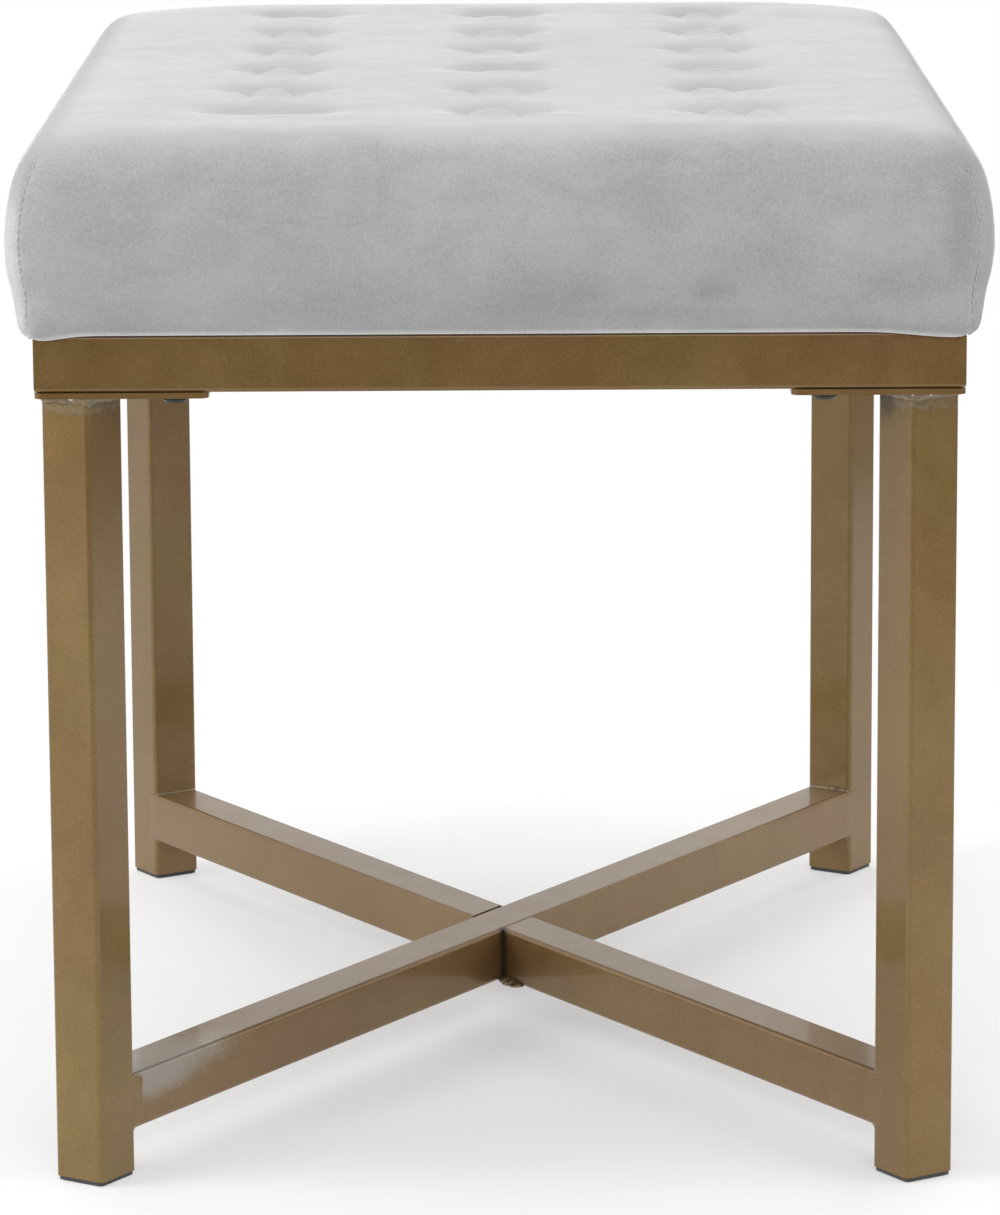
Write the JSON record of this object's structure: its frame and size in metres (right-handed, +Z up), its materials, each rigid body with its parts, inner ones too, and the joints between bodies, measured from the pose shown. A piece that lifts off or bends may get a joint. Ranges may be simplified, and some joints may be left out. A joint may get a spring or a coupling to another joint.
{
  "type": "ottoman bench",
  "caption": "Rectangular tufted velvet cushion bench on a square steel tube base with corner legs and crossed diagonal stretchers.",
  "frame": {"origin": "on the floor, below the centre of the bench", "axes": "+Z up, X along the short side, Y along the long side, the front short end at -Y"},
  "size_m": [0.4272, 0.6312, 0.466],
  "materials": {
    "frame_steel": "satin",
    "weld_steel": "satin",
    "bolt_steel": "satin",
    "zinc_steel": "satin",
    "foot_plastic": "matte",
    "plywood": "matte",
    "foam": "matte",
    "velvet": "matte",
    "dust_cloth": "matte",
    "tuft_cord": "matte"
  },
  "bodies": {
    "root": {"apron_front": "frame_steel", "apron_rear": "frame_steel", "apron_left": "frame_steel", "apron_right": "frame_steel", "leg_plate_front_left": "frame_steel", "leg_plate_front_right": "frame_steel", "leg_plate_rear_left": "frame_steel", "leg_plate_rear_right": "frame_steel", "leg_front_left": "frame_steel", "leg_front_right": "frame_steel", "leg_rear_left": "frame_steel", "leg_rear_right": "frame_steel", "foot_cap_front_left": "foot_plastic", "foot_cap_front_right": "foot_plastic", "foot_cap_rear_left": "foot_plastic", "foot_cap_rear_right": "foot_plastic", "stretcher_through": "frame_steel", "stretcher_half_rear_left": "frame_steel", "stretcher_half_front_right": "frame_steel", "leg_plate_welds": "weld_steel", "stretcher_welds": "weld_steel", "crossing_welds": "weld_steel", "plate_bolts": "bolt_steel", "weld_nuts": "zinc_steel", "seat_tabs": "frame_steel", "seat_screws": "zinc_steel", "seat_board": "plywood", "foam_pad": "foam", "velvet_cover": "velvet", "dust_cover": "dust_cloth", "cover_staples": "zinc_steel", "dust_cover_staples": "zinc_steel", "tuft_cords": "tuft_cord", "tuft_washers": "zinc_steel"}
  },
  "joints": []
}
